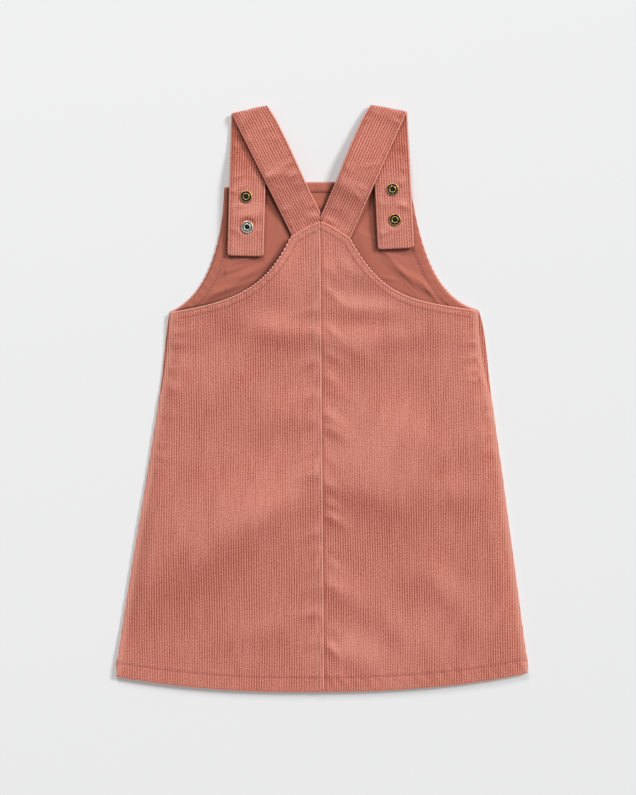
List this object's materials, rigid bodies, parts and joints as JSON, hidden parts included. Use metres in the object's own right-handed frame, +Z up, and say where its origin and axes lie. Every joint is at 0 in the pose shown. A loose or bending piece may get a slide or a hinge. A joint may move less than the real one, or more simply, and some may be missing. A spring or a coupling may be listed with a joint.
{
  "type": "pinafore dress",
  "caption": "Child's sleeveless corduroy pinafore dress laid flat on its front, with straps sewn under the back neckline that fold at the shoulder and button inside the bib.",
  "frame": {"origin": "centre of the bounding box on the surface the dress lies on", "axes": "+Z up from the surface, +Y from hem to shoulders, +X to the right as seen from above; the dress lies on its front with its back upward"},
  "size_m": [0.3534, 0.504, 0.0108],
  "materials": {
    "corduroy": "cotton corduroy, 12 wales to the inch, dusty pink",
    "lining": "plain-weave cotton, dusty pink",
    "antique_brass": "aged brass",
    "nickel": "dull nickel plate"
  },
  "bodies": {
    "root": {"front_panel": "corduroy", "bib_lining": "lining", "back_left": "corduroy", "back_right": "corduroy", "strap_left": "corduroy", "strap_right": "corduroy", "button_left_upper": "antique_brass", "button_left_lower": "nickel", "button_right_upper": "antique_brass", "button_right_lower": "antique_brass"}
  },
  "joints": []
}
